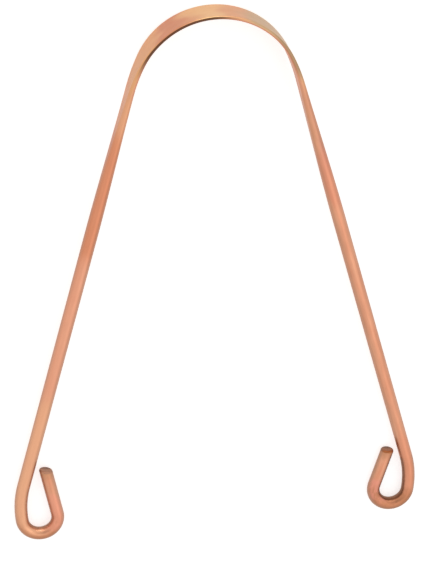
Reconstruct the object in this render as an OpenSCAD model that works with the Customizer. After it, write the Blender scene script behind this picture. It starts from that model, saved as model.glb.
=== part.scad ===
// Tongue scraper made from one length of copper rod.
// The middle of the rod is flattened and bent into an arch, the ends are bent into loops.
// It lies as it rests on a table: the arch towards +Y, the arms towards -Y, Z up,
// and the origin below the middle of its length and width.

/* [Rod] */
// Diameter of the round rod
rod_d = 3; // [2.5:0.1:3.5]
// Width of the bevel that breaks the edge of each sheared end
end_bevel = 0.45; // [0.1:0.05:0.6]

/* [Blade] */
// Thickness of the rod where it is flattest
blade_t = 0.83; // [0.7:0.01:1.2]
// Length that is evenly flat on each side of the middle, along the rod
blade_even_l = 11; // [6:0.5:14]
// Length over which the blade turns back into round rod
blade_run_out_l = 51.5; // [44:0.5:60]

/* [Arch] */
// Radius of the arch at its top, to the middle of the blade's thickness
crown_r = 18; // [16:0.2:22]
// Turn of that radius on each side of the top, in degrees
crown_turn = 64.5; // [60:0.5:70]
// Radius of the easier bend that leads into each arm
shoulder_r = 40; // [25:1:50]

/* [Arms] */
// Angle between each arm and the middle line, in degrees
arm_splay = 15.6; // [12:0.2:18]
// Straight length of each side, from the arch to the loop
arm_l = 98.5; // [85:0.5:110]

/* [Loops] */
// Radius of the easy bend at the start of each loop, to the rod's middle
lead_r = 23; // [18:1:28]
// Turn of that bend, in degrees
lead_turn = 23; // [18:1:28]
// Radius of the tight bend round each eye, to the rod's middle
eye_r = 4.15; // [3.9:0.05:4.6]
// Turn of the left eye, in degrees
left_eye_turn = 184; // [170:0.5:186]
// Turn of the right eye, in degrees
right_eye_turn = 190.5; // [170:0.5:192]
// Straight tail after the left eye, to the middle of its sheared face
left_tail_l = 12; // [6:0.5:13]
// Straight tail after the right eye, to the middle of its sheared face
right_tail_l = 9.8; // [6:0.1:10.4]
// Angle off square of the left tail's sheared face, in degrees
left_cut_angle = 20; // [0:1:25]
// Angle off square of the right tail's sheared face, in degrees
right_cut_angle = 12; // [0:1:25]

/* [Hidden] */
$fn = 96;
copper = "#d98c66";

// Points round each half of a rod section. It is odd, so that a point lies on the blade's very edge.
half_section_points = 15;
// Steps along the blade's crown, along each of its sides and along each shoulder
crown_steps = 32;
side_steps = 24;
shoulder_steps = 16;

rod_r = rod_d / 2;
rod_area = PI * rod_r * rod_r;

// The rod's middle line is measured along the rod from the middle of the blade, + to the right.
// On each side it is the crown's arc, the shoulder's arc and then a straight line.
shoulder_turn = 90 - arm_splay - crown_turn;
crown_l = crown_r * crown_turn * PI / 180;
shoulder_l = shoulder_r * shoulder_turn * PI / 180;
arch_l = crown_l + shoulder_l;
round_from_l = blade_even_l + blade_run_out_l;
arms_end_l = arch_l + arm_l;

// Parts of the length l from the middle that lie on the crown, on the shoulder and on the straight
function on_crown(l) = min(abs(l), crown_l);
function on_shoulder(l) = min(max(abs(l) - crown_l, 0), shoulder_l);
function on_straight(l) = max(abs(l) - arch_l, 0);

// How far the rod has turned down from level, in degrees, at the end of the crown and in all
function turned_on_crown(l) = on_crown(l) / crown_r * 180 / PI;
function turned(l) = turned_on_crown(l) + on_shoulder(l) / shoulder_r * 180 / PI;

// Place of the middle line at l, flat in the plane of the bends
function middle_x(l) = sign(l) * (
  crown_r * sin(turned_on_crown(l))
  + shoulder_r * (sin(turned(l)) - sin(turned_on_crown(l)))
  + on_straight(l) * cos(turned(l))
);
function middle_y(l) = -(
  crown_r * (1 - cos(turned_on_crown(l)))
  + shoulder_r * (cos(turned_on_crown(l)) - cos(turned(l)))
  + on_straight(l) * sin(turned(l))
);
// The way out of the arch, square to the rod
function outward(l) = [sign(l) * sin(turned(l)), cos(turned(l))];

// Flattening moves metal sideways but loses none. The thickness eases from the blade's to the rod's,
// and the width is what gives each section, a bar with half-round edges, the area of the round rod.
function eased(share) = let (u = min(max(share, 0), 1)) u * u * (3 - 2 * u);
function thickness(l) = blade_t + (rod_d - blade_t) * eased((abs(l) - blade_even_l) / blade_run_out_l);
function width(l) = rod_area / thickness(l) + (1 - PI / 4) * thickness(l);
blade_w = width(0);

// One closed ring of points round the rod at l: two half circles, pulled apart to the section's width
function ring(l) = let (
  edge_r = thickness(l) / 2,
  edge_z = width(l) / 2 - edge_r,
  out = outward(l)
) [
  for (half = [0, 1], k = [0 : half_section_points - 1])
    let (
      angle = 180 * (half + (k + 0.5) / half_section_points),
      across = edge_r * cos(angle)
    )
    [
      middle_x(l) + across * out.x,
      middle_y(l) + across * out.y,
      (half == 0 ? edge_z : -edge_z) + edge_r * sin(angle)
    ]
];

// The loops' bottoms, and the tilt at which the blade's lower edge and both loops touch the table.
// The tilt is found once from the blade at the top of the arch, and then from its lowest place.
loops_start_heading = 90 - arm_splay;
lead_end_heading = loops_start_heading + lead_turn;
loop_bottom_y = middle_y(arms_end_l)
  - lead_r * (cos(loops_start_heading) - cos(lead_end_heading))
  - eye_r * (cos(lead_end_heading) + 1);
crown_places = [for (i = [0 : crown_steps]) blade_even_l * (2 * i / crown_steps - 1)];
side_places = [for (i = [0 : side_steps]) blade_even_l + (arch_l - blade_even_l) * i / side_steps];
function blade_reach(tilt) = max([
  for (l = concat(crown_places, side_places))
    -middle_y(l) * sin(tilt) + (width(l) - thickness(l)) / 2 * cos(tilt) + thickness(l) / 2
]);
first_tilt = asin((blade_w / 2 - rod_r) / -loop_bottom_y);
rest_tilt = asin((blade_reach(first_tilt) - rod_r) / -loop_bottom_y);
rest_height = blade_reach(rest_tilt);

// Ends of the part along Y as it lies, for the place of the origin
front_y = (blade_w - blade_t) / 2 * sin(rest_tilt) + blade_t / 2;
back_y = loop_bottom_y * cos(rest_tilt) - rod_r;

// Lays the part down from the plane of its bends
module at_rest() {
  translate([0, -(front_y + back_y) / 2, rest_height])
    rotate([rest_tilt, 0, 0])
      children();
}

module left_side() {
  mirror([1, 0, 0]) children();
}

// The rod as one skin over rings from one length along it to another
module formed_rod(from_l, to_l, steps) {
  round_points = 2 * half_section_points;
  points = [
    for (i = [0 : steps]) each ring(from_l + (to_l - from_l) * i / steps)
  ];
  sides = [
    for (i = [0 : steps - 1], k = [0 : round_points - 1])
      let (
        a = i * round_points + k,
        b = i * round_points + (k + 1) % round_points
      )
      each [[a, b, b + round_points], [a, b + round_points, a + round_points]]
  ];
  first_end = [for (k = [round_points - 1 : -1 : 0]) k];
  last_end = [for (k = [0 : round_points - 1]) steps * round_points + k];
  polyhedron(points = points, faces = concat(sides, [first_end, last_end]));
}

// The place at the far end of a bend that leaves the origin along +X and turns to the right
module after_bend(bend_r, turn) {
  translate([bend_r * sin(turn), -bend_r * (1 - cos(turn)), 0])
    rotate([0, 0, -turn])
      children();
}

// The place on the right side at l along the rod, heading along it
module on_rod(l) {
  translate([middle_x(l), middle_y(l), 0])
    rotate([0, 0, -turned(l)])
      children();
}

// Round rod in such a bend
module bent_rod(bend_r, turn) {
  translate([0, -bend_r, 0])
    rotate([0, 0, 90 - turn])
      rotate_extrude(angle = turn)
        translate([bend_r, 0]) circle(d = rod_d);
}

module arm() {
  on_rod(round_from_l)
    rotate([0, 90, 0]) cylinder(d = rod_d, h = arms_end_l - round_from_l);
}

module blade_side() {
  formed_rod(blade_even_l, arch_l, side_steps);
}

module shoulder() {
  formed_rod(arch_l, round_from_l, shoulder_steps);
}

module lead_bend() {
  on_rod(arms_end_l) bent_rod(lead_r, lead_turn);
}

module eye(eye_turn) {
  on_rod(arms_end_l) after_bend(lead_r, lead_turn) bent_rod(eye_r, eye_turn);
}

// The shears leave each tail longer on the side towards its arm. The cone that cuts the rod off has its
// axis square to the sheared face, so its side makes the bevel. It reaches back past the tail's start.
module tail(eye_turn, tail_l, cut_angle) {
  face_r = rod_r - end_bevel;
  cone_l = 2 * tail_l;
  on_rod(arms_end_l)
    after_bend(lead_r, lead_turn)
      after_bend(eye_r, eye_turn)
        rotate([0, 90, 0])
          intersection() {
            cylinder(d = rod_d, h = cone_l);
            translate([0, 0, tail_l])
              rotate([180 - cut_angle, 0, 0])
                cylinder(r1 = face_r, r2 = face_r + cone_l, h = cone_l);
          }
}

module blade_crown() {
  color(copper) at_rest() formed_rod(-blade_even_l, blade_even_l, crown_steps);
}

module left_blade_side() {
  color(copper) at_rest() left_side() blade_side();
}

module right_blade_side() {
  color(copper) at_rest() blade_side();
}

module left_shoulder() {
  color(copper) at_rest() left_side() shoulder();
}

module right_shoulder() {
  color(copper) at_rest() shoulder();
}

module left_arm() {
  color(copper) at_rest() left_side() arm();
}

module right_arm() {
  color(copper) at_rest() arm();
}

module left_lead_bend() {
  color(copper) at_rest() left_side() lead_bend();
}

module right_lead_bend() {
  color(copper) at_rest() lead_bend();
}

module left_eye() {
  color(copper) at_rest() left_side() eye(left_eye_turn);
}

module right_eye() {
  color(copper) at_rest() eye(right_eye_turn);
}

module left_tail() {
  color(copper) at_rest() left_side() tail(left_eye_turn, left_tail_l, left_cut_angle);
}

module right_tail() {
  color(copper) at_rest() tail(right_eye_turn, right_tail_l, right_cut_angle);
}

blade_crown();
left_blade_side();
right_blade_side();
left_shoulder();
right_shoulder();
left_arm();
right_arm();
left_lead_bend();
right_lead_bend();
left_eye();
right_eye();
left_tail();
right_tail();
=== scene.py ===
import logging
import math
from dataclasses import dataclass, field, fields
from enum import Enum
from functools import reduce
from operator import matmul

import bpy
import numpy as np
from mathutils import Matrix, Vector


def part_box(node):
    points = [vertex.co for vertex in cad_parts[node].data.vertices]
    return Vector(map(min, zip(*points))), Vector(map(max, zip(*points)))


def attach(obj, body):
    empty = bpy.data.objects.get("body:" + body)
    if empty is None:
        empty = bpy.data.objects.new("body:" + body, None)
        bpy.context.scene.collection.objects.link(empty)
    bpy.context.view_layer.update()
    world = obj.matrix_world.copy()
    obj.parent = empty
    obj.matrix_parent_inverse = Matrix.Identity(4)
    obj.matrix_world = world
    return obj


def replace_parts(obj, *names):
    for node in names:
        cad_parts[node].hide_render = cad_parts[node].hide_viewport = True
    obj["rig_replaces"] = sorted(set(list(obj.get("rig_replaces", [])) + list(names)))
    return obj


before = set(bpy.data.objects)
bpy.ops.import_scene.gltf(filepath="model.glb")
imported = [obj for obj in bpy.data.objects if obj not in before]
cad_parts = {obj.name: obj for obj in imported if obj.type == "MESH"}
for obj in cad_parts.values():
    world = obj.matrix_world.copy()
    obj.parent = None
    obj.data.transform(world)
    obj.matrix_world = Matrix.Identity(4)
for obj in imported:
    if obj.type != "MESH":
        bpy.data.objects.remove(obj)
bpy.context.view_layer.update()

BODY = "root"
MM = 0.001
NOISE_MIDDLE = 0.5
LOG = logging.getLogger("tongue_scraper")

Colour = tuple[float, float, float]
Value = float | bpy.types.NodeSocket


def eased(share: np.ndarray) -> np.ndarray:
    """Runs from 0 to 1 with level ends, 3 s^2 - 2 s^3, where s is the share held to 0 and 1."""
    held = np.clip(share, 0.0, 1.0)
    return held * held * (3.0 - 2.0 * held)


class Side(Enum):
    """The two sides of the scraper. The value is the sign of X there."""

    LEFT = -1
    RIGHT = 1

    @property
    def word(self) -> str:
        """The side as it stands in the names of the nodes."""
        return self.name.lower()


@dataclass(frozen=True)
class Rod:
    """The stock that the whole scraper is bent from.

    Args:
        diameter: of the round rod.
    """

    diameter: float = 3.0 * MM

    @property
    def radius(self) -> float:
        """Half the diameter."""
        return self.diameter / 2

    @property
    def area(self) -> float:
        """Area of the round section, which flattening keeps."""
        return math.pi * self.radius**2


@dataclass(frozen=True)
class Bend:
    """A bend of even radius.

    Args:
        radius: to the rod's middle.
        turn: in degrees.
    """

    radius: float
    turn: float

    @property
    def length(self) -> float:
        """Length of rod in the bend."""
        return self.radius * math.radians(self.turn)

    @property
    def curvature(self) -> float:
        """One over the radius."""
        return 1 / self.radius


@dataclass(frozen=True)
class Straight:
    """A straight stretch of the rod.

    Args:
        length: along the rod.
        curvature: none, where a bend has its own.
    """

    length: float
    curvature: float = 0.0


@dataclass(frozen=True)
class MiddleLine:
    """The line down the middle of the rod, flat in the plane of the bends.

    The length along it is 0 at the middle of the blade, + to the right and - to the left. The
    heading is the turn down from level. A bend of curvature c that starts at heading h moves the
    line by (sin(h + c s) - sin h) / c across and (cos(h + c s) - cos h) / c along.

    Args:
        stretches: each side's stretches, from the middle to the cut end.
    """

    stretches: dict[Side, list[Bend | Straight]]

    def end(self, side: Side) -> float:
        """Length from the middle to that side's cut end."""
        return sum(stretch.length for stretch in self.stretches[side])

    def place(self, length: np.ndarray) -> tuple[np.ndarray, np.ndarray, np.ndarray]:
        """Where the line is.

        Args:
            length: signed lengths along the rod, of any shape.

        Returns:
            x, y and the heading in radians on the right, which is its mirror image on the left.
        """
        right = length >= 0
        found = [self._one_side(np.abs(length), side) for side in (Side.RIGHT, Side.LEFT)]
        x, y, heading = (np.where(right, a, b) for a, b in zip(*found))
        return np.where(right, x, -x), y, heading

    def _one_side(self, length: np.ndarray, side: Side) -> tuple[np.ndarray, ...]:
        """Where one side of the line is, drawn on the right.

        Args:
            length: lengths from the middle.
            side: which side's stretches it follows. The last one goes on without end.

        Returns:
            x, y and the heading.
        """
        x, y, heading = (np.zeros_like(length) for _ in range(3))
        start = 0.0
        *_, last = self.stretches[side]
        for stretch in self.stretches[side]:
            longest = np.inf if stretch is last else stretch.length
            done = np.clip(length - start, 0.0, longest)
            if stretch.curvature:
                turned = heading + stretch.curvature * done
                x = x + (np.sin(turned) - np.sin(heading)) / stretch.curvature
                y = y + (np.cos(turned) - np.cos(heading)) / stretch.curvature
                heading = turned
            else:
                x = x + done * np.cos(heading)
                y = y - done * np.sin(heading)
            start += stretch.length
        return x, y, heading

    def curvature(self, length: np.ndarray, reach: float) -> np.ndarray:
        """Curvature at each length, averaged over that reach to both sides."""
        ahead, behind = (self._heading(np.abs(length) + step, length) for step in (reach, -reach))
        return (ahead - behind) / (2 * reach)

    def _heading(self, distance: np.ndarray, signed: np.ndarray) -> np.ndarray:
        """Heading at a distance from the middle, on the side that the signed length names."""
        return self.place(np.abs(distance) * np.where(signed < 0, -1.0, 1.0))[2] * np.sign(distance)


@dataclass(frozen=True)
class BladeForm:
    """How the middle of the rod is flattened and arched.

    Args:
        rod: the stock.
        thickness: where it is flattest.
        even_length: evenly flat on each side of the middle.
        run_out_length: over which it turns back into round rod.
        crown: the bend on each side of the top.
        ease: the easier bend that follows it.
    """

    rod: Rod = Rod()
    thickness: float = 0.83 * MM
    even_length: float = 11.0 * MM
    run_out_length: float = 51.5 * MM
    crown: Bend = Bend(18.0 * MM, 64.5)
    ease: Bend = Bend(40.0 * MM, 9.9)

    @property
    def arch_length(self) -> float:
        """Length of each side that is bent into the arch."""
        return self.crown.length + self.ease.length

    @property
    def round_from(self) -> float:
        """Length from the middle at which the rod is round again."""
        return self.even_length + self.run_out_length

    def flatness(self, length: np.ndarray) -> np.ndarray:
        """1 where the blade is flattest and 0 where the rod is round."""
        return 1.0 - eased((np.abs(length) - self.even_length) / self.run_out_length)

    def thickness_at(self, length: np.ndarray) -> np.ndarray:
        """Thickness, which eases from the blade's to the rod's."""
        full = self.rod.diameter
        return full + (self.thickness - full) * self.flatness(length)

    def width_at(self, length: np.ndarray) -> np.ndarray:
        """Width at which a bar of that thickness with half-round edges has the rod's area."""
        thickness = self.thickness_at(length)
        return self.rod.area / thickness + (1 - math.pi / 4) * thickness


@dataclass(frozen=True)
class LoopForm:
    """How the end of an arm is bent into a loop.

    Args:
        eye: the tight bend round the eye.
        tail_length: straight, to the middle of the cut.
        cut_angle: of the cut off square, in degrees. It leaves the side towards the arm longer.
        lead: the easy bend that starts it.
    """

    eye: Bend
    tail_length: float
    cut_angle: float
    lead: Bend = Bend(23.0 * MM, 23.0)

    @property
    def slant(self) -> float:
        """How much shorter the tail gets for each length across it, away from the arm."""
        return math.tan(math.radians(self.cut_angle))


@dataclass(frozen=True)
class Rest:
    """How the rod lies on the table: the blade's lower edge and both loops touch it.

    Args:
        tilt: of the bends' plane about X, in radians.
        along, height: how far it is moved along Y and up.
    """

    tilt: float
    along: float
    height: float

    SAMPLES = 400

    @classmethod
    def found(cls, blade: BladeForm, line: MiddleLine, loop_bottom: float) -> "Rest":
        """Finds how it lies.

        The tilt t comes from the reach of the blade below the bends' plane,
        sin t = (reach - rod radius) / distance to the loops' bottoms, first with the reach at the
        top of the arch and then with the largest one at that tilt.

        Args:
            blade: gives the width and thickness.
            line: gives the places.
            loop_bottom: y of the loops' lowest middle line in the plane of the bends.

        Returns:
            The rest.
        """
        radius = blade.rod.radius
        length = np.linspace(0.0, blade.arch_length, cls.SAMPLES)
        y = line.place(length)[1]
        width, thickness = blade.width_at(length), blade.thickness_at(length)

        def reach(tilt: float) -> float:
            """How far the blade goes below the line's top at that tilt."""
            edge = (width - thickness) / 2 * math.cos(tilt) + thickness / 2
            return float(np.max(edge - y * math.sin(tilt)))

        first = math.asin((width[0] / 2 - radius) / -loop_bottom)
        tilt = math.asin((reach(first) - radius) / -loop_bottom)
        front = (width[0] - thickness[0]) / 2 * math.sin(tilt) + thickness[0] / 2
        back = loop_bottom * math.cos(tilt) - radius
        return cls(tilt, -(front + back) / 2, reach(tilt))

    def turn(self, vectors: np.ndarray) -> np.ndarray:
        """Vectors of the bends' plane, tilted about X as it lies."""
        c, s = math.cos(self.tilt), math.sin(self.tilt)
        return vectors @ np.array([[1.0, 0.0, 0.0], [0.0, c, s], [0.0, -s, c]])

    def lay(self, points: np.ndarray) -> np.ndarray:
        """Points of the bends' plane where they lie in the frame."""
        return self.turn(points) + np.array([0.0, self.along, self.height])


@dataclass
class Skin:
    """The rod's surface as one function of the length along it and the place round its section.

    A section is two half circles of half its thickness, pulled apart along Z until it is as wide as
    it should be, with a point on the middle of each flat between them. Angle 0 faces out of the arch.
    The surface lies a hair inside the CAD model's. Lengths and shrinks, the shares of the section's
    size, are given as arrays of shape (rows, around).

    Args:
        blade: gives each section's thickness and width.
        line: carries the sections.
        rest: lays the surface on the table.
        loops_start: length from the middle at which both loops start.
        loops: each side's loop.
        half_points: points round each half circle.
        inset: how far the surface lies inside.
        bend_reach: over which the bend mask is averaged to both sides.
        loop_reach, cut_reach: over which the loop and cut masks set in.
        buffed_from: a direction fixed on the object. Surfaces that turn away from it get painted shade. It
            was fitted to the photograph and lies about 6 degrees off the camera's line of sight.
    """

    blade: BladeForm
    line: MiddleLine
    rest: Rest
    loops_start: float
    loops: dict[Side, LoopForm]
    half_points: int = 28
    inset: float = 0.002 * MM
    bend_reach: float = 1.2 * MM
    loop_reach: float = 26.0 * MM
    cut_reach: float = 3.2 * MM
    # Painted shade falls where a surface turns away from this direction, which lies near the camera's line
    # of sight
    buffed_from: tuple[float, float, float] = (-0.05, 0.41, 0.91)

    def __post_init__(self) -> None:
        """Works out the angles round a section, and which edge each one is on."""
        points = self.half_points
        half = (np.arange(points) + 0.5) / points * math.pi
        self.angle = np.concatenate([half, [math.pi], half + math.pi, [2 * math.pi]])
        self.edge_sign = np.repeat([1.0, 0.0, -1.0, 0.0], [points, 1, points, 1])

    def section(self, length: np.ndarray, shrink: np.ndarray) -> tuple[np.ndarray, np.ndarray]:
        """Places in the section.

        Args:
            length: signed lengths along the rod.
            shrink: share of the section's size.

        Returns:
            How far each point is out of the arch, and how far up.
        """
        edge_radius = self.blade.thickness_at(length) / 2
        edge_place = self.blade.width_at(length) / 2 - edge_radius
        edge_radius = edge_radius - self.inset
        across = shrink * edge_radius * np.cos(self.angle)
        up = shrink * (self.edge_sign * edge_place + edge_radius * np.sin(self.angle))
        return across, up

    def points(self, length: np.ndarray, shrink: np.ndarray) -> np.ndarray:
        """Points of the surface: the line's place, plus the section turned by the heading.

        Args:
            length: signed lengths along the rod.
            shrink: share of the section's size.

        Returns:
            Points in the frame, of shape (rows, around, 3).
        """
        x, y, heading = self.line.place(length)
        across, up = self.section(length, shrink)
        side = np.where(length < 0, -1.0, 1.0)
        flat = [x + across * side * np.sin(heading), y + across * np.cos(heading), up]
        return self.rest.lay(np.stack(flat, axis=-1))

    def masks(self, length: np.ndarray, shrink: np.ndarray, normals: np.ndarray) -> dict[str, np.ndarray]:
        """What the finishes read at each point: places along the straightened rod, and masks.

        Args:
            length: signed lengths along the rod.
            shrink: share of the section's size.
            normals: of the surface.

        Returns:
            rod_place, in millimetres along, across and up. From 0 to 1: flatness, edge (on the
            blade's round edges), bend (in a tight bend), loop (in a loop), cut (near a cut end) and
            unbuffed (1 less the cosine between its normal and buffed_from, the mask for painted shade).
            And inward, from -1 outside the arch and the loops to 1 inside them.
        """
        across, up = self.section(length, shrink)
        flatness = self.blade.flatness(length)
        tightest = self.loops[Side.LEFT].eye.radius
        ends, slants = (np.where(length < 0, *pair) for pair in (
            [self.line.end(side) for side in Side], [self.loops[side].slant for side in Side]))
        to_cut = ends - slants * across - np.abs(length)
        return {
            "rod_place": np.stack([length, across, up], axis=-1) / MM,
            "flatness": flatness,
            "edge": flatness * np.abs(self.edge_sign * np.sin(self.angle)),
            "bend": np.clip(self.line.curvature(length, self.bend_reach) * tightest, 0.0, 1.0),
            "loop": eased((np.abs(length) - self.loops_start) / self.loop_reach + 1.0),
            "cut": np.clip(1.0 - to_cut / self.cut_reach, 0.0, 1.0),
            "inward": np.broadcast_to(-np.cos(self.angle), length.shape),
            # Mask for painted shade: grows as the normal turns away from a fixed direction near the
            # camera's line of sight
            "unbuffed": 1.0 - np.abs(normals @ np.array(self.buffed_from)),
        }


def new_object(name: str, data: bpy.types.ID) -> bpy.types.Object:
    """Makes an object.

    Args:
        name: of the object.
        data: its mesh, light or camera.

    Returns:
        The object, in the scene and at the origin.
    """
    made = bpy.data.objects.new(name, data)
    bpy.context.scene.collection.objects.link(made)
    return made


def with_rows_past_the_ends(grid: np.ndarray) -> np.ndarray:
    """A grid with one row more at each end, a step further in the same way."""
    return np.concatenate([[2 * grid[0] - grid[1]], grid, [2 * grid[-1] - grid[-2]]])


@dataclass
class Piece:
    """One zone of the rod as a closed mesh.

    Args:
        node: the CAD node that it stands for.
        length: signed lengths of its surface points, of shape (rows, around), rising.
        shrink: share of the section's size at each point.
    """

    node: str
    length: np.ndarray
    shrink: np.ndarray

    @classmethod
    def between(cls, node: str, skin: Skin, start: float, end: float, step: float) -> "Piece":
        """A piece of full section.

        Args:
            node: the CAD node that it stands for.
            skin: the rod's surface.
            start, end: signed lengths along the rod, in either order.
            step: about how far apart its rows are.

        Returns:
            The piece.
        """
        rows = max(2, math.ceil(abs(end - start) / step)) + 1
        length = np.linspace(min(start, end), max(start, end), rows)
        grid = np.repeat(length[:, None], len(skin.angle), axis=1)
        return cls(node, grid, np.ones_like(grid))

    def build(self, skin: Skin) -> bpy.types.Object:
        """Makes the mesh and its object.

        Normals come from the differences between each point's neighbours, along and around, with
        one more row taken past each end, so that pieces meet with the same normals. Flat caps close
        both ends.

        Args:
            skin: the rod's surface.

        Returns:
            The object, at the origin, with the attributes that the finishes read.
        """
        rows, around = self.length.shape
        grid = skin.points(with_rows_past_the_ends(self.length), with_rows_past_the_ends(self.shrink))
        inner = grid[1:-1]
        round_it = np.roll(inner, -1, axis=1) - np.roll(inner, 1, axis=1)
        normals = np.cross(round_it, grid[2:] - grid[:-2])
        normals /= np.linalg.norm(normals, axis=-1, keepdims=True)

        corner = np.arange(rows * around).reshape(rows, around)
        beside = np.roll(corner, -1, axis=1)
        sides = np.stack([corner[:-1], beside[:-1], beside[1:], corner[1:]], axis=-1).reshape(-1, 4)
        caps = [corner[0][::-1].tolist(), corner[-1].tolist()]
        mesh = bpy.data.meshes.new(f"{self.node}_copper")
        mesh.from_pydata(inner.reshape(-1, 3).tolist(), [], sides.tolist() + caps)
        side_normals = normals.reshape(-1, 3)[sides.ravel()]
        cap_normals = [np.repeat(self._cap_normal(inner[row])[None] * sign, around, axis=0)
                       for row, sign in ((0, -1.0), (-1, 1.0))]
        mesh.polygons.foreach_set("use_smooth", np.ones(len(mesh.polygons), bool))
        mesh.normals_split_custom_set(np.concatenate([side_normals, *cap_normals]).tolist())
        for name, values in skin.masks(self.length, self.shrink, normals).items():
            kind, key = ("FLOAT_VECTOR", "vector") if values.ndim == 3 else ("FLOAT", "value")
            stored = mesh.attributes.new(name, kind, "POINT").data
            stored.foreach_set(key, values.astype(np.float32).ravel())
        mesh.update()
        return new_object(mesh.name, mesh)

    @staticmethod
    def _cap_normal(ring: np.ndarray) -> np.ndarray:
        """Normal of a flat ring of points, along the rod."""
        normal = np.cross(*(ring[[len(ring) // 4, len(ring) // 4 * 2]] - ring[0]))
        return normal / np.linalg.norm(normal)


@dataclass
class Sketch:
    """Nodes being set in one material, world or group, from left to right.

    Args:
        tree: the node tree.
        place: socket of the place along the straightened rod, in millimetres, where there is one.
    """

    tree: bpy.types.NodeTree
    place: bpy.types.NodeSocket | None = None

    STEP = 190

    @classmethod
    def on(cls, block: bpy.types.Material | bpy.types.World) -> "Sketch":
        """Starts on a material or world, without the nodes that it came with.

        Args:
            block: the material or world.

        Returns:
            The sketch.
        """
        block.use_nodes = True
        block.node_tree.nodes.clear()
        return cls(block.node_tree)

    def node(self, kind: str, inputs: dict | None = None, **settings: object) -> bpy.types.Node:
        """Adds a node.

        Args:
            kind: its Blender type.
            inputs: a value or a socket for each named or numbered input.
            settings: its own settings.

        Returns:
            The node.
        """
        made = self.tree.nodes.new(kind)
        made.location = (self.STEP * len(self.tree.nodes), 0)
        for name, value in settings.items():
            setattr(made, name, value)
        for name, value in (inputs or {}).items():
            self.feed(made.inputs[name], value)
        return made

    def feed(self, socket: bpy.types.NodeSocket, value: Value | Colour) -> None:
        """Links a socket to another one, or sets its value.

        Args:
            socket: the socket.
            value: what it gets. A colour gets its alpha here.
        """
        if isinstance(value, bpy.types.NodeSocket):
            self.tree.links.new(value, socket)
        else:
            socket.default_value = (*value, 1.0) if socket.type == "RGBA" else value

    def math(self, operation: str, *values: Value) -> bpy.types.NodeSocket:
        """One sum of values."""
        return self.node("ShaderNodeMath", dict(enumerate(values)), operation=operation).outputs[0]

    def times(self, *values: Value) -> bpy.types.NodeSocket:
        """The product of values."""
        return reduce(lambda a, b: self.math("MULTIPLY", a, b), values)

    def vector(self, operation: str, inputs: dict, output: str = "Vector") -> bpy.types.NodeSocket:
        """One sum of vectors."""
        return self.node("ShaderNodeVectorMath", inputs, operation=operation).outputs[output]

    def spread(self, value: Value, low: Value, high: Value) -> bpy.types.NodeSocket:
        """The value eased from 0 at the low mark to 1 at the high one."""
        inputs = {"Value": value, "From Min": low, "From Max": high}
        return self.node("ShaderNodeMapRange", inputs, interpolation_type="SMOOTHSTEP").outputs["Result"]

    def between(self, share: Value, low: Value, high: Value) -> bpy.types.NodeSocket:
        """A value that goes from low to high as the share goes from 0 to 1."""
        inputs = {"Value": share, "To Min": low, "To Max": high}
        return self.node("ShaderNodeMapRange", inputs).outputs["Result"]

    def mix(self, share: Value, a: Value | Colour, b: Value | Colour) -> bpy.types.NodeSocket:
        """Colour a, and b over a share of it."""
        return self.node("ShaderNodeMix", {0: share, 6: a, 7: b}, data_type="RGBA").outputs[2]

    def attribute(self, name: str, output: str = "Fac") -> bpy.types.NodeSocket:
        """One of the attributes that the skin wrote."""
        return self.node("ShaderNodeAttribute", attribute_name=name).outputs[output]

    def noise(self, place: Value, detail: Value, roughness: float = 0.5) -> bpy.types.NodeSocket:
        """Noise about a unit in size."""
        inputs = {"Vector": place, "Scale": 1.0, "Detail": detail, "Roughness": roughness}
        return self.node("ShaderNodeTexNoise", inputs).outputs["Fac"]

    def in_patches(self, place: Value, length: Value, width: Value) -> bpy.types.NodeSocket:
        """A place measured in patches of that length along and that width across."""
        size = self.node("ShaderNodeCombineXYZ", {0: length, 1: width, 2: width})
        return self.vector("DIVIDE", {0: place, 1: size.outputs[0]})


@dataclass
class Look(Sketch):
    """The nodes of one finish in the making, and what it has so far.

    Args:
        colour, roughness: of the surface.
        relief: in millimetres.
    """

    colour: Value | Colour = (1.0, 1.0, 1.0)
    roughness: Value = 0.0
    relief: Value = 0.0

    def __post_init__(self) -> None:
        """Reads the place that the skin wrote."""
        self.place = self.attribute("rod_place", "Vector")

    def paint(self, mask: Value, colour: Colour) -> None:
        """Lays a colour over it where the mask says."""
        self.colour = self.mix(mask, self.colour, colour)

    def roughen(self, mask: Value, roughness: float) -> None:
        """Gives it another roughness where the mask says."""
        self.roughness = self.between(mask, self.roughness, roughness)

    def emboss(self, pattern: Value, depth: Value) -> None:
        """Adds a pattern to its relief, as deep as it is told."""
        self.relief = self.math("MULTIPLY_ADD", pattern, depth, self.relief)


def label(name: str) -> str:
    """The name of a value as it stands on a socket."""
    return name.replace("_", " ").title()


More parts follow.
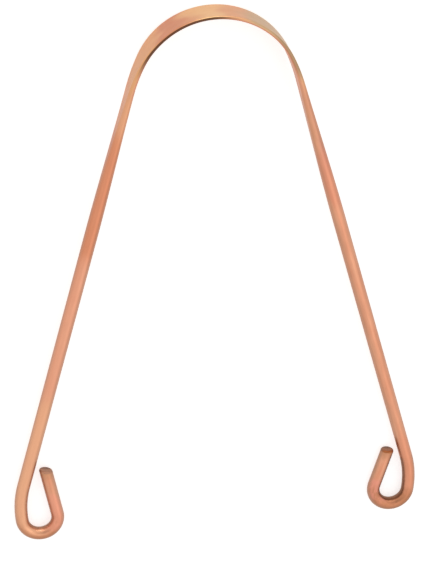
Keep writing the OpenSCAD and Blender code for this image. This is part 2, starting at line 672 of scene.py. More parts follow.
@dataclass(frozen=True)
class Effect:
    """A node group that the finishes share, and the values that it is placed with.

    Each field is one of its inputs. A place and each of the MORE inputs come in as sockets.
    """

    NAME = ""
    MORE = ()
    OUTPUT = "Mask"

    @classmethod
    def inside(cls, sketch: Sketch, come: bpy.types.NodeOutputs) -> bpy.types.NodeSocket:
        """Draws the inside of the group, which each effect does in its own way."""
        raise NotImplementedError(cls.NAME)

    @classmethod
    def group(cls) -> bpy.types.NodeTree:
        """The node group.

        Returns:
            The group, built when it is first asked for.
        """
        found = bpy.data.node_groups.get(cls.NAME)
        if found:
            return found
        tree = bpy.data.node_groups.new(cls.NAME, "ShaderNodeTree")
        kinds = {value.name: "Color" if value.type == Colour else "Float" for value in fields(cls)}
        kinds = {"place": "Vector", **kinds, **dict.fromkeys(cls.MORE, "Float")}
        for name, kind in kinds.items():
            tree.interface.new_socket(label(name), in_out="INPUT", socket_type=f"NodeSocket{kind}")
        kind = "Color" if cls.OUTPUT == "Color" else "Float"
        tree.interface.new_socket(cls.OUTPUT, in_out="OUTPUT", socket_type=f"NodeSocket{kind}")
        sketch = Sketch(tree)
        come = sketch.node("NodeGroupInput").outputs
        sketch.place = come["Place"]
        sketch.node("NodeGroupOutput", {0: cls.inside(sketch, come)})
        return tree

    def placed(self, sketch: Sketch, **more: Value) -> bpy.types.NodeSocket:
        """Places the group.

        Args:
            sketch: the nodes that it goes among.
            more: sockets for its MORE inputs.

        Returns:
            What it puts out.
        """
        values = {"place": sketch.place, **vars(self), **more}
        inputs = {label(name): value for name, value in values.items()}
        return sketch.node("ShaderNodeGroup", inputs, node_tree=self.group()).outputs[0]


@dataclass(frozen=True)
class DrawnNoise(Effect):
    """Noise drawn out along the rod, from 0 to 1.

    Args:
        length, width: of its patches, in millimetres.
        start: where in the noise it starts.
        detail: how many finer layers it has.
        contrast: how far from the noise's middle it reaches 0 and 1.
    """

    length: Value
    width: Value
    start: float
    detail: float
    contrast: float

    NAME = "drawn_noise"
    ROUGHNESS = 0.55

    @classmethod
    def inside(cls, sketch: Sketch, come: bpy.types.NodeOutputs) -> bpy.types.NodeSocket:
        """Draws the inside of the group.

        Args:
            sketch: its nodes.
            come: what comes in.

        Returns:
            The mask.
        """
        start = sketch.node("ShaderNodeCombineXYZ", {0: come["Start"], 1: come["Start"]}).outputs[0]
        patches = sketch.in_patches(come["Place"], come["Length"], come["Width"])
        noise = sketch.noise(sketch.vector("ADD", {0: patches, 1: start}), come["Detail"], cls.ROUGHNESS)
        low, high = (sketch.math(way, NOISE_MIDDLE, come["Contrast"]) for way in ("SUBTRACT", "ADD"))
        return sketch.spread(noise, low, high)


@dataclass(frozen=True)
class CopperTone(Effect):
    """Soft lengthwise patches of other tones over the middle tone.

    Args:
        middle, red, pale, dull: the tones.
        patch_length, patch_width: size of the patches, in millimetres.
        amount: how far a patch goes to its tone.
    """

    middle: Colour = (0.87, 0.395, 0.240)
    red: Colour = (0.81, 0.295, 0.165)
    pale: Colour = (0.93, 0.480, 0.295)
    dull: Colour = (0.77, 0.355, 0.215)
    patch_length: float = 9.0
    patch_width: float = 1.5
    amount: float = 0.6

    NAME = "copper_tone"
    OUTPUT = "Color"
    STARTS_AND_STRETCHES = {"Red": (3.1, 1.0), "Pale": (11.7, 1.4), "Dull": (23.9, 0.7)}
    DETAIL = 2.5
    CONTRAST = 0.19

    @classmethod
    def inside(cls, sketch: Sketch, come: bpy.types.NodeOutputs) -> bpy.types.NodeSocket:
        """Draws the inside of the group.

        Args:
            sketch: its nodes.
            come: what comes in.

        Returns:
            The colour.
        """
        colour = come["Middle"]
        for tone, (start, stretch) in cls.STARTS_AND_STRETCHES.items():
            length = sketch.times(come["Patch Length"], stretch)
            noise = DrawnNoise(length, come["Patch Width"], start, cls.DETAIL, cls.CONTRAST)
            mask = sketch.times(noise.placed(sketch), come["Amount"])
            colour = sketch.mix(mask, colour, come[tone])
        return colour


@dataclass(frozen=True)
class Zone(Effect):
    """1 on a stretch of the rod, easing to 0 at both of its ends, in millimetres along it.

    Args:
        middle: of the stretch, + to the right of the blade's middle.
        full: how far to each side the effect is full.
        gone: how far to each side it has faded out.
        drift: how far its borders wander.
    """

    middle: float
    full: float
    gone: float
    drift: float = 5.0

    NAME = "zone"
    WANDER = DrawnNoise(length=8.0, width=4.5, start=83.0, detail=0.5, contrast=0.35)

    @classmethod
    def inside(cls, sketch: Sketch, come: bpy.types.NodeOutputs) -> bpy.types.NodeSocket:
        """Draws the inside of the group.

        Args:
            sketch: its nodes.
            come: what comes in.

        Returns:
            The mask.
        """
        along = sketch.node("ShaderNodeSeparateXYZ", {0: come["Place"]}).outputs["X"]
        wander = sketch.math("SUBTRACT", cls.WANDER.placed(sketch), NOISE_MIDDLE)
        along = sketch.math("MULTIPLY_ADD", wander, come["Drift"], along)
        away = sketch.math("ABSOLUTE", sketch.math("SUBTRACT", along, come["Middle"]))
        return sketch.spread(away, come["Gone"], come["Full"])


@dataclass(frozen=True)
class Grime(Effect):
    """Stains and painted shade where a mask says, with a border broken up by fine noise.

    Args:
        start, full: the mask's value where it starts, and where it is full.
        grain: size of the noise, in millimetres.
        breakup: how far the noise shifts the border.
    """

    start: float
    full: float
    grain: float
    breakup: float

    NAME = "grime"
    MORE = ("where",)
    DETAIL = 4.0

    @classmethod
    def inside(cls, sketch: Sketch, come: bpy.types.NodeOutputs) -> bpy.types.NodeSocket:
        """Draws the inside of the group.

        Args:
            sketch: its nodes.
            come: what comes in.

        Returns:
            The mask.
        """
        per_grain = sketch.math("DIVIDE", 1.0, come["Grain"])
        place = sketch.vector("SCALE", {0: come["Place"], "Scale": per_grain})
        swing = sketch.math("SUBTRACT", sketch.noise(place, cls.DETAIL), NOISE_MIDDLE)
        where = sketch.math("MULTIPLY_ADD", swing, come["Breakup"], come["Where"])
        return sketch.spread(where, come["Start"], come["Full"])


@dataclass(frozen=True)
class Scratches(Effect):
    """Thin scratches in one direction: the crests of a noise that is drawn out that way.

    Args:
        angle: off the rod, in radians.
        length, width: of a scratch, in millimetres.
        share: how far down the crests they reach.
    """

    angle: float
    length: float
    width: float
    share: float

    NAME = "scratches"
    AXIS = (0.3, 1.0, 0.2)
    DETAIL = 1.0
    CREST = 0.86
    SLOPE = 0.08

    @classmethod
    def inside(cls, sketch: Sketch, come: bpy.types.NodeOutputs) -> bpy.types.NodeSocket:
        """Draws the inside of the group.

        Args:
            sketch: its nodes.
            come: what comes in.

        Returns:
            The mask.
        """
        turn = {"Vector": come["Place"], "Angle": come["Angle"], "Axis": cls.AXIS}
        turned = sketch.node("ShaderNodeVectorRotate", turn, rotation_type="AXIS_ANGLE").outputs[0]
        noise = sketch.noise(sketch.in_patches(turned, come["Length"], come["Width"]), cls.DETAIL)
        low = sketch.math("SUBTRACT", cls.CREST, come["Share"])
        return sketch.spread(noise, low, sketch.math("ADD", low, cls.SLOPE))


@dataclass(frozen=True)
class DrawnCopper:
    """Bare copper as it comes from the drawing die, lightly tarnished by handling.

    Args:
        tone: its soft patches.
        lines, clouds: the die's lines, and patches of wear.
        scratches: fine ones from handling.
        line_shade: brightness between and on the lines.
        line_depth, scratch_depth: in millimetres.
        smooth, rough: the range of its roughness.
        scratch_roughness: what a scratch adds to it.
    """

    tone: CopperTone = CopperTone()
    lines: DrawnNoise = DrawnNoise(length=9.0, width=0.11, start=5.0, detail=2.0, contrast=0.3)
    clouds: DrawnNoise = DrawnNoise(length=3.0, width=0.9, start=41.0, detail=3.0, contrast=0.25)
    scratches: Scratches = Scratches(angle=0.5, length=5.0, width=0.07, share=0.12)
    line_shade: tuple[float, float] = (0.93, 1.04)
    line_depth: float = 0.004
    scratch_depth: float = 0.002
    smooth: float = 0.28
    rough: float = 0.42
    scratch_roughness: float = 0.12

    def lay_over(self, look: Look) -> None:
        """Starts a look.

        Args:
            look: a look that has nothing yet.
        """
        lines, clouds, scratches = (e.placed(look) for e in (self.lines, self.clouds, self.scratches))
        shade = look.between(lines, *self.line_shade)
        look.colour = look.vector("SCALE", {0: self.tone.placed(look), "Scale": shade})
        worn = look.times(look.math("ADD", clouds, lines), 0.5)
        roughness = look.between(worn, self.smooth, self.rough)
        look.roughness = look.math("MULTIPLY_ADD", scratches, self.scratch_roughness, roughness)
        look.emboss(scratches, -self.scratch_depth)
        look.emboss(lines, self.line_depth)


@dataclass(frozen=True)
class Tint:
    """A soft patch of another tone, left by heat and polishing, save the bright one on the crown, which is
    a painted highlight.

    Args:
        zone: where it is.
        colour: its tone.
        amount: how much it covers.
        all_round: if it goes round the rod, and not only over the outer side.
        border: how it sets in.
        outside: how far inwards a place leans where a patch on the outer side starts and is full.
    """

    zone: Zone
    colour: Colour
    amount: float
    all_round: bool = True
    border: Grime = Grime(start=0.0, full=1.0, grain=3.0, breakup=0.35)
    outside: tuple[float, float] = (0.5, -0.3)

    def lay_over(self, look: Look) -> None:
        """Lays the tint over a look.

        Args:
            look: the look.
        """
        where = self.zone.placed(look)
        if not self.all_round:
            where = look.times(where, look.spread(look.attribute("inward"), *self.outside))
        look.paint(look.times(self.border.placed(look, where=where), self.amount), self.colour)


@dataclass(frozen=True)
class EdgeOxide:
    """Painted shade: a dark band on one half of the strap's round edges, which are also made rougher
    there.

    Args:
        zone: the stretch that it covers.
        lean: 1 where it is on the half towards the inside of the arch, -1 on the other.
        amount: how much it covers.
        colour, roughness: of the painted shade band.
        half: how far towards that half a place leans where the band starts and is full.
        border: how it sets in.
    """

    zone: Zone
    lean: float
    amount: float
    colour: Colour = (0.135, 0.058, 0.030)
    roughness: float = 0.5
    half: tuple[float, float] = (-0.75, -0.3)
    border: Grime = Grime(start=0.15, full=0.5, grain=1.6, breakup=0.2)

    def lay_over(self, look: Look) -> None:
        """Lays the oxide over a look.

        Args:
            Lays the painted shade over a look.
        """
        leaning = look.times(look.attribute("inward"), self.lean)
        where = look.times(look.attribute("edge"), look.spread(leaning, *self.half))
        mask = look.times(self.border.placed(look, where=where), self.zone.placed(look), self.amount)
        # Painted shade along one edge of the strap
        look.paint(mask, self.colour)
        look.roughen(mask, self.roughness)


@dataclass(frozen=True)
class RollerWaves:
    """Low waves across the strap, left by flattening and hand bending.

    Args:
        waves: their pattern.
        depth: of a wave, in millimetres.
    """

    waves: DrawnNoise = DrawnNoise(length=7.0, width=14.0, start=61.0, detail=0.0, contrast=0.5)
    depth: float = 0.05

    def lay_over(self, look: Look) -> None:
        """Adds the waves to a look's relief."""
        look.emboss(self.waves.placed(look), look.times(look.attribute("flatness"), self.depth))


@dataclass(frozen=True)
class LoopGrime:
    """Dirt and painted shade on the inside of a loop, darkest in the tight bend.

    Args:
        line_amount: how much it covers along the whole loop.
        bend_amount: how much it covers in the tight bend.
        border: how it sets in as a place leans to the inside.
        colour, roughness: of the dirt and painted shade.
    """

    line_amount: float
    bend_amount: float
    border: Grime
    colour: Colour = (0.21, 0.084, 0.038)
    roughness: float = 0.5

    def lay_over(self, look: Look) -> None:
        """Lays the dirt and painted shade over a look.

        Args:
            look: the look.
        """
        inward = look.attribute("inward")
        line, bend = (
            look.times(self.border.placed(look, where=look.times(inward, look.attribute(name))), amount)
            for name, amount in (("loop", self.line_amount), ("bend", self.bend_amount)))
        mask = look.math("MAXIMUM", line, bend)
        # Dirt and painted shade inside the loop
        look.paint(mask, self.colour)
        look.roughen(mask, self.roughness)


@dataclass(frozen=True)
class EdgeTarnish:
    """Painted shade: a brown colour on the loops where they turn away from a fixed direction near the
    camera's line of sight.

    Args:
        amount: how much it covers there.
        colour: of the painted shade.
        border: how it sets in.
    """

    amount: float
    colour: Colour = (0.36, 0.205, 0.120)
    border: Grime = Grime(start=0.15, full=0.60, grain=0.9, breakup=0.2)

    def lay_over(self, look: Look) -> None:
        """Lays the painted shade over a look."""
        # Painted shade on the loops' sides that turn from the fixed direction
        where = look.times(look.attribute("loop"), look.attribute("unbuffed"))
        look.paint(look.times(self.border.placed(look, where=where), self.amount), self.colour)


@dataclass(frozen=True)
class BendTarnish:
    """Brown mottles and pulled grain on a tight bend, where fingers hold it.

    Args:
        amount: how much the mottles cover.
        colour: of the mottles.
        mottles, grain: their patterns.
        grain_depth: in millimetres.
    """

    amount: float
    colour: Colour = (0.56, 0.235, 0.120)
    mottles: DrawnNoise = DrawnNoise(length=1.9, width=0.8, start=17.0, detail=3.0, contrast=0.14)
    grain: DrawnNoise = DrawnNoise(length=0.25, width=0.25, start=7.0, detail=2.0, contrast=0.3)
    grain_depth: float = 0.006

    def lay_over(self, look: Look) -> None:
        """Lays the mottles over a look and adds the grain to its relief.

        Args:
            look: the look.
        """
        bend = look.attribute("bend")
        look.paint(look.times(self.mottles.placed(look), bend, self.amount), self.colour)
        look.emboss(self.grain.placed(look), look.times(bend, self.grain_depth))


@dataclass(frozen=True)
class ShearedEnd:
    """A cut end: a torn face, a rounded rim with painted shade underneath, and a stain on the rod.

    Args:
        face, rim, stain: colours of the torn face, of the painted shade on the rim and on the lower part
            of the face, and of the stain.
        stain_border, end_border, face_border: how the stain, the whole end and the face set in.
        rim_height, under_height: heights in the section, in millimetres, at which the painted shade starts
            and is full on the rim and on the face.
        stain_amount, face_amount: how much the stain and the face's colour cover.
        stain_roughness, face_roughness: of both.
        tears: the torn lines.
        tear_depth: in millimetres.
    """

    face: Colour = (0.42, 0.125, 0.034)
    rim: Colour = (0.10, 0.065, 0.060)
    stain: Colour = (0.60, 0.280, 0.145)
    stain_border: Grime = Grime(start=0.1, full=1.0, grain=1.1, breakup=0.7)
    end_border: Grime = Grime(start=0.80, full=0.92, grain=0.6, breakup=0.10)
    face_border: Grime = Grime(start=0.955, full=0.985, grain=0.3, breakup=0.02)
    rim_height: tuple[float, float] = (1.0, 0.0)
    under_height: tuple[float, float] = (0.25, -0.65)
    stain_amount: float = 0.75
    face_amount: float = 0.8
    stain_roughness: float = 0.45
    face_roughness: float = 0.55
    tears: Scratches = Scratches(angle=1.3, length=2.5, width=0.12, share=0.32)
    tear_depth: float = 0.03

    def lay_over(self, look: Look) -> None:
        """Lays the stain, the torn face and the rim's painted shade over a look.

        Args:
            look: the look.
        """
        cut = look.attribute("cut")
        borders = (self.stain_border, self.end_border, self.face_border)
        stain, end, face = (border.placed(look, where=cut) for border in borders)
        up = look.node("ShaderNodeSeparateXYZ", {0: look.place}).outputs["Z"]
        rim = look.times(end, look.math("SUBTRACT", 1.0, face), look.spread(up, *self.rim_height))
        under = look.times(face, look.spread(up, *self.under_height))
        look.paint(look.times(stain, self.stain_amount), self.stain)
        look.paint(look.times(end, self.face_amount), self.face)
        # Painted shade on the lower half of the rim and the face
        look.paint(look.math("MAXIMUM", rim, under), self.rim)
        look.roughen(stain, self.stain_roughness)
        look.roughen(end, self.face_roughness)
        look.emboss(self.tears.placed(look), look.times(face, -self.tear_depth))


@dataclass(frozen=True)
class Film:
    """Painted shade: a dull, darker colour on the round rod's sides where they turn away from a fixed
    direction near the camera's line of sight.

    Args:
        colour: of the painted shade.
        amount: how much it covers where it is full.
        unbuffed: where it starts and is full, from 0 facing the fixed direction to 1 turned square to it.
    """

    colour: Colour = (0.50, 0.285, 0.190)
    amount: float = 0.6
    unbuffed: tuple[float, float] = (0.16, 0.60)

    def lay_over(self, look: Look) -> None:
        """Lays the painted shade over a look.

        Args:
            look: the look.
        """
        # Painted shade on the sides that turn from the fixed direction, fading out on the flat blade
        left = look.spread(look.attribute("unbuffed"), *self.unbuffed)
        covers = look.between(look.attribute("flatness"), self.amount, 0.0)
        look.paint(look.times(left, covers), self.colour)


# Soft patches of other tones, from the blade's middle to each end; the bright one on the crown is a
# painted highlight
BLADE_TINTS = (
    Tint(Zone(0.0, 16.0, 40.0), (0.84, 0.435, 0.220), 0.85, all_round=False),
    Tint(Zone(-20.0, 3.0, 9.0), (0.88, 0.460, 0.210), 0.60, all_round=False),
    Tint(Zone(-10.5, 1.0, 6.0), (0.75, 0.305, 0.165), 0.85, all_round=False),
    # Painted highlight: the bright gleam on the crown
    Tint(Zone(-2.4, 0.2, 6.5), (0.93, 0.565, 0.280), 1.0, all_round=False),
    Tint(Zone(15.0, 5.0, 13.0), (0.62, 0.435, 0.245), 0.80, all_round=False),
    Tint(Zone(38.0, 5.0, 13.0), (0.60, 0.280, 0.205), 0.60, all_round=False),
)
LEFT_TINTS = (
    Tint(Zone(-34.0, 4.0, 10.0), (0.90, 0.450, 0.240), 0.6),
    Tint(Zone(-54.0, 12.0, 22.0), (0.78, 0.285, 0.150), 0.75),
    Tint(Zone(-86.0, 12.0, 22.0), (0.93, 0.430, 0.275), 0.6),
    Tint(Zone(-122.0, 14.0, 26.0), (0.96, 0.500, 0.290), 0.75),
    Tint(Zone(-141.5, 3.0, 8.0), (0.62, 0.250, 0.130), 0.85, all_round=False),
    Tint(Zone(-149.0, 3.0, 6.0), (0.94, 0.385, 0.255), 0.70),
)
RIGHT_TINTS = (
    Tint(Zone(36.0, 3.0, 9.0), (0.78, 0.370, 0.210), 0.5),
    Tint(Zone(50.0, 4.0, 9.0), (0.83, 0.310, 0.195), 0.5),
    Tint(Zone(128.0, 5.0, 11.0), (0.86, 0.340, 0.200), 0.6),
    Tint(Zone(140.0, 3.5, 8.5), (0.62, 0.245, 0.125), 0.80),
    Tint(Zone(147.5, 2.0, 5.0), (0.90, 0.350, 0.250), 0.75),
)


class Finish(Enum):
    """The finishes, each with what lies between the bare copper and the painted side shade on top."""

    BLADE = (
        *BLADE_TINTS, *LEFT_TINTS[:2], *RIGHT_TINTS[:2],
        # Painted shade along the strap's edges
        EdgeOxide(Zone(-9.0, 7.5, 15.0, drift=1.0), lean=1.0, amount=0.92),
        EdgeOxide(Zone(19.0, 3.0, 8.0, drift=1.0), lean=-1.0, amount=0.30),
        RollerWaves(),
    )
    LEFT_ARM = LEFT_TINTS
    RIGHT_ARM = RIGHT_TINTS
    LEFT_LOOP = (
        *LEFT_TINTS, EdgeTarnish(0.15), BendTarnish(0.25),
        LoopGrime(0.22, 0.50, Grime(start=0.84, full=0.98, grain=1.0, breakup=0.15)),
    )
    RIGHT_LOOP = (
        *RIGHT_TINTS, EdgeTarnish(0.55), BendTarnish(0.75),
        LoopGrime(0.78, 0.88, Grime(start=0.70, full=0.84, grain=1.0, breakup=0.15)),
    )
    LEFT_END = (*LEFT_LOOP, ShearedEnd((0.52, 0.270, 0.185), (0.13, 0.092, 0.088), (0.62, 0.320, 0.165)))
    RIGHT_END = (*RIGHT_LOOP, ShearedEnd())

    def material(self) -> bpy.types.Material:
        """The finish as a material.

        Returns:
            The material, made on first use.
        """
        name = f"{self.name.lower()}_copper"
        found = bpy.data.materials.get(name)
        if found:
            return found
        material = bpy.data.materials.new(name)
        look = Look.on(material)
        # The last layer is painted shade on the rod's sides
        for layer in (DrawnCopper(), *self.value, Film()):
            layer.lay_over(look)
        relief = {"Height": look.times(look.relief, MM), "Distance": 1.0, "Strength": 1.0}
        bump = look.node("ShaderNodeBump", relief)
        shader = look.node("ShaderNodeBsdfPrincipled", {
            "Base Color": look.colour, "Metallic": 1.0, "Roughness": look.roughness,
            "Normal": bump.outputs["Normal"],
        })
        look.node("ShaderNodeOutputMaterial", {"Surface": shader.outputs["BSDF"]})
        return material


@dataclass
class SubAssembly:
    """A part of the rod that is formed in one way.

    Args:
        skin: the rod's surface.
        step: distance between rows of the mesh.
        made: the finished pieces.
    """

    skin: Skin
    step: float = 0.5 * MM
    made: list[bpy.types.Object] = field(default_factory=list)

    def finish(self, piece: Piece, finish: Finish) -> None:
        """Builds a piece, dresses it and puts it in its node's place.

        Args:
            piece: the piece.
            finish: its finish.
        """
        made = piece.build(self.skin)
        made.data.materials.append(finish.material())
        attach(made, BODY)
        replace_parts(made, piece.node)
        self.made.append(made)

    def stretch(self, side: Side, zone: str, start: float, end: float, finish: Finish) -> None:
        """Builds and dresses a piece of full section.

        Args:
            side: which side it is on.
            zone: what it is.
            start, end: lengths from the middle of the blade.
            finish: its finish.
        """
        ends = (side.value * start, side.value * end)
        self.finish(Piece.between(f"{side.word}_{zone}", self.skin, *ends, self.step), finish)


@dataclass
class Blade(SubAssembly):
    """The flattened arch: its even crown and its two sides."""

    step: float = 0.4 * MM

    def build(self) -> None:
        """Builds and dresses the crown and both sides."""
        even, arch = self.skin.blade.even_length, self.skin.blade.arch_length
        self.finish(Piece.between("blade_crown", self.skin, -even, even, self.step), Finish.BLADE)
        for side in Side:
            self.stretch(side, "blade_side", even, arch, Finish.BLADE)


@dataclass
class Shoulders(SubAssembly):
    """The straight stretches where the strap turns back into round rod."""

    def build(self) -> None:
        """Builds and dresses both shoulders."""
        for side in Side:
            blade = self.skin.blade
            self.stretch(side, "shoulder", blade.arch_length, blade.round_from, Finish.BLADE)


@dataclass
class Arms(SubAssembly):
    """The straight round handles.

    Args:
        length: straight length of each side, from the arch to the loop.
    """

    length: float = 98.5 * MM
    step: float = 1.0 * MM

    def build(self) -> None:
        """Builds and dresses both arms."""
        for side in Side:
            finish = Finish[f"{side.name}_ARM"]
            self.stretch(side, "arm", self.skin.blade.round_from, self.skin.loops_start, finish)


@dataclass
class Loops(SubAssembly):
    """The loops at the ends of the arms, each a lead bend, an eye and a tail with a cut end.

    Args:
        edge_rows, face_rows: rows of the mesh on the cut's rounded edge and on its face.
        roll_over: depth of the rounded edge where the shears went in.
        burr_side: depth of it on the other side, where the rod broke off.
        shear_turn: how far round the rod the shears went in, in radians.
        dish: how far the middle of the cut lies in.
        innermost: share of the face at which its last row closes it.
    """

    step: float = 0.25 * MM
    edge_rows: int = 10
    face_rows: int = 9
    roll_over: float = 0.62 * MM
    burr_side: float = 0.34 * MM
    shear_turn: float = math.pi / 5
    dish: float = 0.06 * MM
    innermost: float = 0.03

    def build(self) -> None:
        """Builds and dresses both loops."""
        for side in Side:
            form = self.skin.loops[side]
            loop, end = Finish[f"{side.name}_LOOP"], Finish[f"{side.name}_END"]
            lead_end = self.skin.loops_start + form.lead.length
            eye_end = lead_end + form.eye.length
            self.stretch(side, "lead_bend", self.skin.loops_start, lead_end, loop)
            self.stretch(side, "eye", lead_end, eye_end, loop)
            self.finish(self.tail(side, eye_end), end)

    def tail(self, side: Side, start: float) -> Piece:
        """The straight tail, which ends in the slanting cut.

        At a share s of the section's size, the cut's plane lies at the end less
        slant s radius cos(angle). The cut's edge is a quarter ellipse round the rod, and its depth d
        swings round the rod from the roll-over to the burr side. With u from 0 to a quarter turn, s is
        1 - d (1 - cos u) / radius and the surface lies d (1 - sin u) before the plane. The face then
        shrinks to a point, dished by dish (1 - (s / share of the face)^2).

        Args:
            side: which tail.
            start: length from the middle at which the eye ends.

        Returns:
            The piece.
        """
        angle = self.skin.angle
        radius = self.skin.blade.rod.radius
        end, slant = self.skin.line.end(side), self.skin.loops[side].slant

        def plane(share: np.ndarray) -> np.ndarray:
            """Length at which the cut's plane lies."""
            return end - slant * share * radius * np.cos(angle)

        swing = 0.5 - 0.5 * np.cos(angle + self.shear_turn)
        depth = (self.burr_side + (self.roll_over - self.burr_side) * swing)[None, :]
        rows = math.ceil((end - self.roll_over - start) / self.step)
        share = np.linspace(0.0, 1.0, rows, endpoint=False)[:, None]
        side_length = start + share * (plane(1.0) - depth - start)
        u = np.linspace(0.0, math.pi / 2, self.edge_rows)[:, None]
        edge_shrink = 1 - depth / radius * (1 - np.cos(u))
        edge_length = plane(edge_shrink) - depth * (1 - np.sin(u))
        inward = np.linspace(1.0, self.innermost, self.face_rows + 1)[1:, None]
        face_shrink = inward * (1 - depth / radius)
        face_length = plane(face_shrink) - self.dish * (1 - inward**2)
        length = np.concatenate([side_length, edge_length, face_length])
        shrink = np.concatenate([np.ones_like(side_length), edge_shrink, face_shrink])
        if side is Side.LEFT:
            length, shrink = -length[::-1], shrink[::-1]
        return Piece(f"{side.word}_tail", length, shrink)


@dataclass(frozen=True)
class PhotoView:
    """The camera, given as if the scraper stood upright on its loops, as the picture shows it.

    Args:
        azimuth, elevation, roll: in degrees.
        distance: from the camera to its target.
        scale: pixels for each millimetre at the target.
        target: in the plane of the bends, from the top of the rod's middle line.
        image_height: of the picture, in pixels.
        sensor: long side of the camera's sensor, in millimetres.
        nearest, farthest: distances between which it sees.
    """

    azimuth: float = -9.297
    elevation: float = 24.523
    roll: float = -0.178
    distance: float = 516.6 * MM
    scale: float = 4.448
    target: tuple[float, float, float] = (0.846 * MM, -63.743 * MM, 0.0)
    image_height: int = 567
    sensor: float = 36.0
    nearest: float = 0.01
    farthest: float = 20.0

    def build(self, rest: Rest) -> None:
        """Makes the scene's camera.

        Args:
            rest: how the scraper lies, which the camera turns with.
        """
        a, e, r = (math.radians(v) for v in (self.azimuth, self.elevation, self.roll))
        # As the scraper is laid down, what was up goes along Y and what was at the back goes below
        laid = rest.tilt - math.pi / 2
        turns = (("X", laid), ("Z", a), ("X", math.pi / 2 - e), ("Z", r))
        matrix = reduce(matmul, (Matrix.Rotation(turn, 4, axis) for axis, turn in turns))
        away = matrix.col[2].xyz * self.distance
        matrix.translation = Vector(rest.lay(np.array(self.target))) + away
        data = bpy.data.cameras.new("photo_camera")
        data.sensor_width = self.sensor
        data.lens = self.scale * self.distance / MM / self.image_height * self.sensor
        data.clip_start, data.clip_end = self.nearest, self.farthest
        camera = new_object("photo_camera", data)
        camera.matrix_world = matrix
        bpy.context.scene.camera = camera


@dataclass(frozen=True)
class Lamp:
    """A soft oblong lamp that faces the object.

    Args:
        name: of the lamp.
        place: where it hangs.
        width, height: of its face.
        radiance: brightness of its face, where 1 shows as white.
    """

    name: str
    place: tuple[float, float, float]
    width: float
    height: float
    radiance: float

    def build(self) -> None:
        """Hangs the lamp. Its power is its radiance times pi times its area."""
        data = bpy.data.lights.new(self.name, "AREA")
        data.shape = "RECTANGLE"
        data.size, data.size_y = self.width, self.height
        data.energy = self.radiance * math.pi * self.width * self.height
        lamp = new_object(self.name, data)
        lamp.location = self.place
        lamp.rotation_euler = Vector(self.place).to_track_quat("Z", "Y").to_euler()


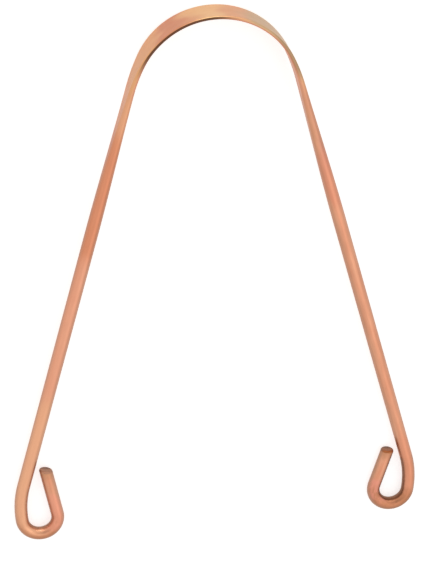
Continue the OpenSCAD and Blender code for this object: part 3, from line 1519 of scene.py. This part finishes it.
@dataclass(frozen=True)
class Studio:
    """A plain pale floor under soft light, white to the camera and in the copper.

    Directions are given as parts of a step of 1.

    Args:
        floor_size: side of the floor.
        floor_drop: how far the floor lies under the table plane, so that faces don't meet.
        floor_albedo: of the floor.
        floor_glow: white added for the camera.
        floor_shine: white added in reflections.
        horizon, zenith: brightness of the surroundings in reflections.
        rising: upward parts over which the one turns into the other.
        behind: how bright they are behind the loops, against the rest.
        lengthways: parts along Y over which that changes.
        dim_way: towards the camera, about which the surroundings are dim. It is fixed.
        dim_share: how much darker they are there in reflections.
        dim_spot: cosines off that way over which it sets in.
        fill: brightness of the surroundings as light.
        lamps: the lamps.
    """

    floor_size: float = 6.0
    floor_drop: float = 0.02 * MM
    floor_albedo: float = 0.8
    floor_glow: float = 0.64
    floor_shine: float = 0.37
    horizon: float = 0.79
    zenith: float = 0.955
    rising: tuple[float, float] = (0.0, 0.9)
    behind: float = 0.89
    lengthways: tuple[float, float] = (-0.75, 0.10)
    dim_way: tuple[float, float, float] = (-0.147, 0.36, 0.92)
    dim_share: float = 0.5
    dim_spot: tuple[float, float] = (0.86, 0.97)
    fill: float = 0.576
    lamps: tuple[Lamp, ...] = (
        Lamp("arm_softbox", (0.22, -0.08, 0.40), 0.40, 0.40, 0.22),
        Lamp("arch_softbox", (0.10, 0.82, 0.30), 0.80, 0.16, 2.2),
    )

    def build(self) -> None:
        """Builds the floor, the surroundings and the lamps, and sets plain colours."""
        self._floor()
        self._surroundings()
        for lamp in self.lamps:
            lamp.build()
        bpy.context.scene.view_settings.view_transform = "Standard"

    def _floor(self) -> None:
        """Lays the floor, which takes the object's shadow."""
        half = self.floor_size / 2
        corners = [(half * x, half * y, -self.floor_drop) for x, y in ((-1, -1), (1, -1), (1, 1), (-1, 1))]
        mesh = bpy.data.meshes.new("studio_floor")
        mesh.from_pydata(corners, [], [(0, 1, 2, 3)])
        material = bpy.data.materials.new("floor_white")
        sketch = Sketch.on(material)
        paper = sketch.node("ShaderNodeBsdfDiffuse", {"Color": [self.floor_albedo] * 3})
        rays = sketch.node("ShaderNodeLightPath").outputs
        shine = sketch.times(rays["Is Glossy Ray"], self.floor_shine)
        glow = sketch.math("MULTIPLY_ADD", rays["Is Camera Ray"], self.floor_glow, shine)
        light = sketch.node("ShaderNodeEmission", {"Strength": glow})
        both = sketch.node("ShaderNodeAddShader", {0: paper.outputs[0], 1: light.outputs[0]})
        sketch.node("ShaderNodeOutputMaterial", {"Surface": both.outputs[0]})
        mesh.materials.append(material)
        floor = new_object("studio_floor", mesh)

    def _surroundings(self) -> None:
        """Makes the world white to the camera, and paler overhead than at the horizon in reflections."""
        world = bpy.data.worlds.new("studio")
        sketch = Sketch.on(world)
        rays = sketch.node("ShaderNodeLightPath").outputs
        direction = sketch.node("ShaderNodeTexCoord").outputs["Generated"]
        way = sketch.node("ShaderNodeSeparateXYZ", {0: direction}).outputs
        sky = sketch.between(sketch.spread(way["Z"], *self.rising), self.horizon, self.zenith)
        behind = sketch.between(sketch.spread(way["Y"], *self.lengthways), self.behind, 1.0)
        towards = sketch.vector("DOT_PRODUCT", {0: direction, 1: self.dim_way}, "Value")
        dim = sketch.between(sketch.spread(towards, *self.dim_spot), 1.0, 1.0 - self.dim_share)
        strength = sketch.between(rays["Is Glossy Ray"], self.fill, sketch.times(sky, behind, dim))
        strength = sketch.between(rays["Is Camera Ray"], strength, 1.0)
        light = sketch.node("ShaderNodeBackground", {"Color": (1.0, 1.0, 1.0), "Strength": strength})
        sketch.node("ShaderNodeOutputWorld", {"Surface": light.outputs[0]})
        bpy.context.scene.world = world


def report_fit(pieces: list[bpy.types.Object]) -> None:
    """Logs how far each piece's box is from its node's box.

    Args:
        pieces: the pieces.
    """
    for piece in pieces:
        points = np.empty(len(piece.data.vertices) * 3, np.float32)
        piece.data.vertices.foreach_get("co", points)
        points = points.reshape(-1, 3)
        low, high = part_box(piece["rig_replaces"][0])
        off = max(np.abs(points.min(0) - low).max(), np.abs(points.max(0) - high).max())
        LOG.info("%s: %d faces, box off by %.3f mm", piece.name, len(piece.data.polygons), off / MM)


def main() -> None:
    """Builds the scraper and the studio, and reports each piece."""
    logging.basicConfig(level=logging.INFO, format="%(message)s")
    blade = BladeForm()
    loops = {
        Side.LEFT: LoopForm(Bend(4.15 * MM, 184.0), 12.0 * MM, cut_angle=20.0),
        Side.RIGHT: LoopForm(Bend(4.15 * MM, 190.5), 9.8 * MM, cut_angle=12.0),
    }

    line = MiddleLine({side: [
        blade.crown, blade.ease, Straight(Arms.length),
        loop.lead, loop.eye, Straight(loop.tail_length),
    ] for side, loop in loops.items()})
    loops_start = blade.arch_length + Arms.length
    loop = loops[Side.RIGHT]
    lead_end = line.place(np.array(loops_start + loop.lead.length))
    loop_bottom = float(lead_end[1] - loop.eye.radius * (np.cos(lead_end[2]) + 1))
    rest = Rest.found(blade, line, loop_bottom)
    skin = Skin(blade, line, rest, loops_start, loops)

    for assembly in (Blade(skin), Shoulders(skin), Arms(skin), Loops(skin)):
        assembly.build()
        report_fit(assembly.made)

    PhotoView().build(rest)
    Studio().build()


if __name__ == "__main__":
    main()
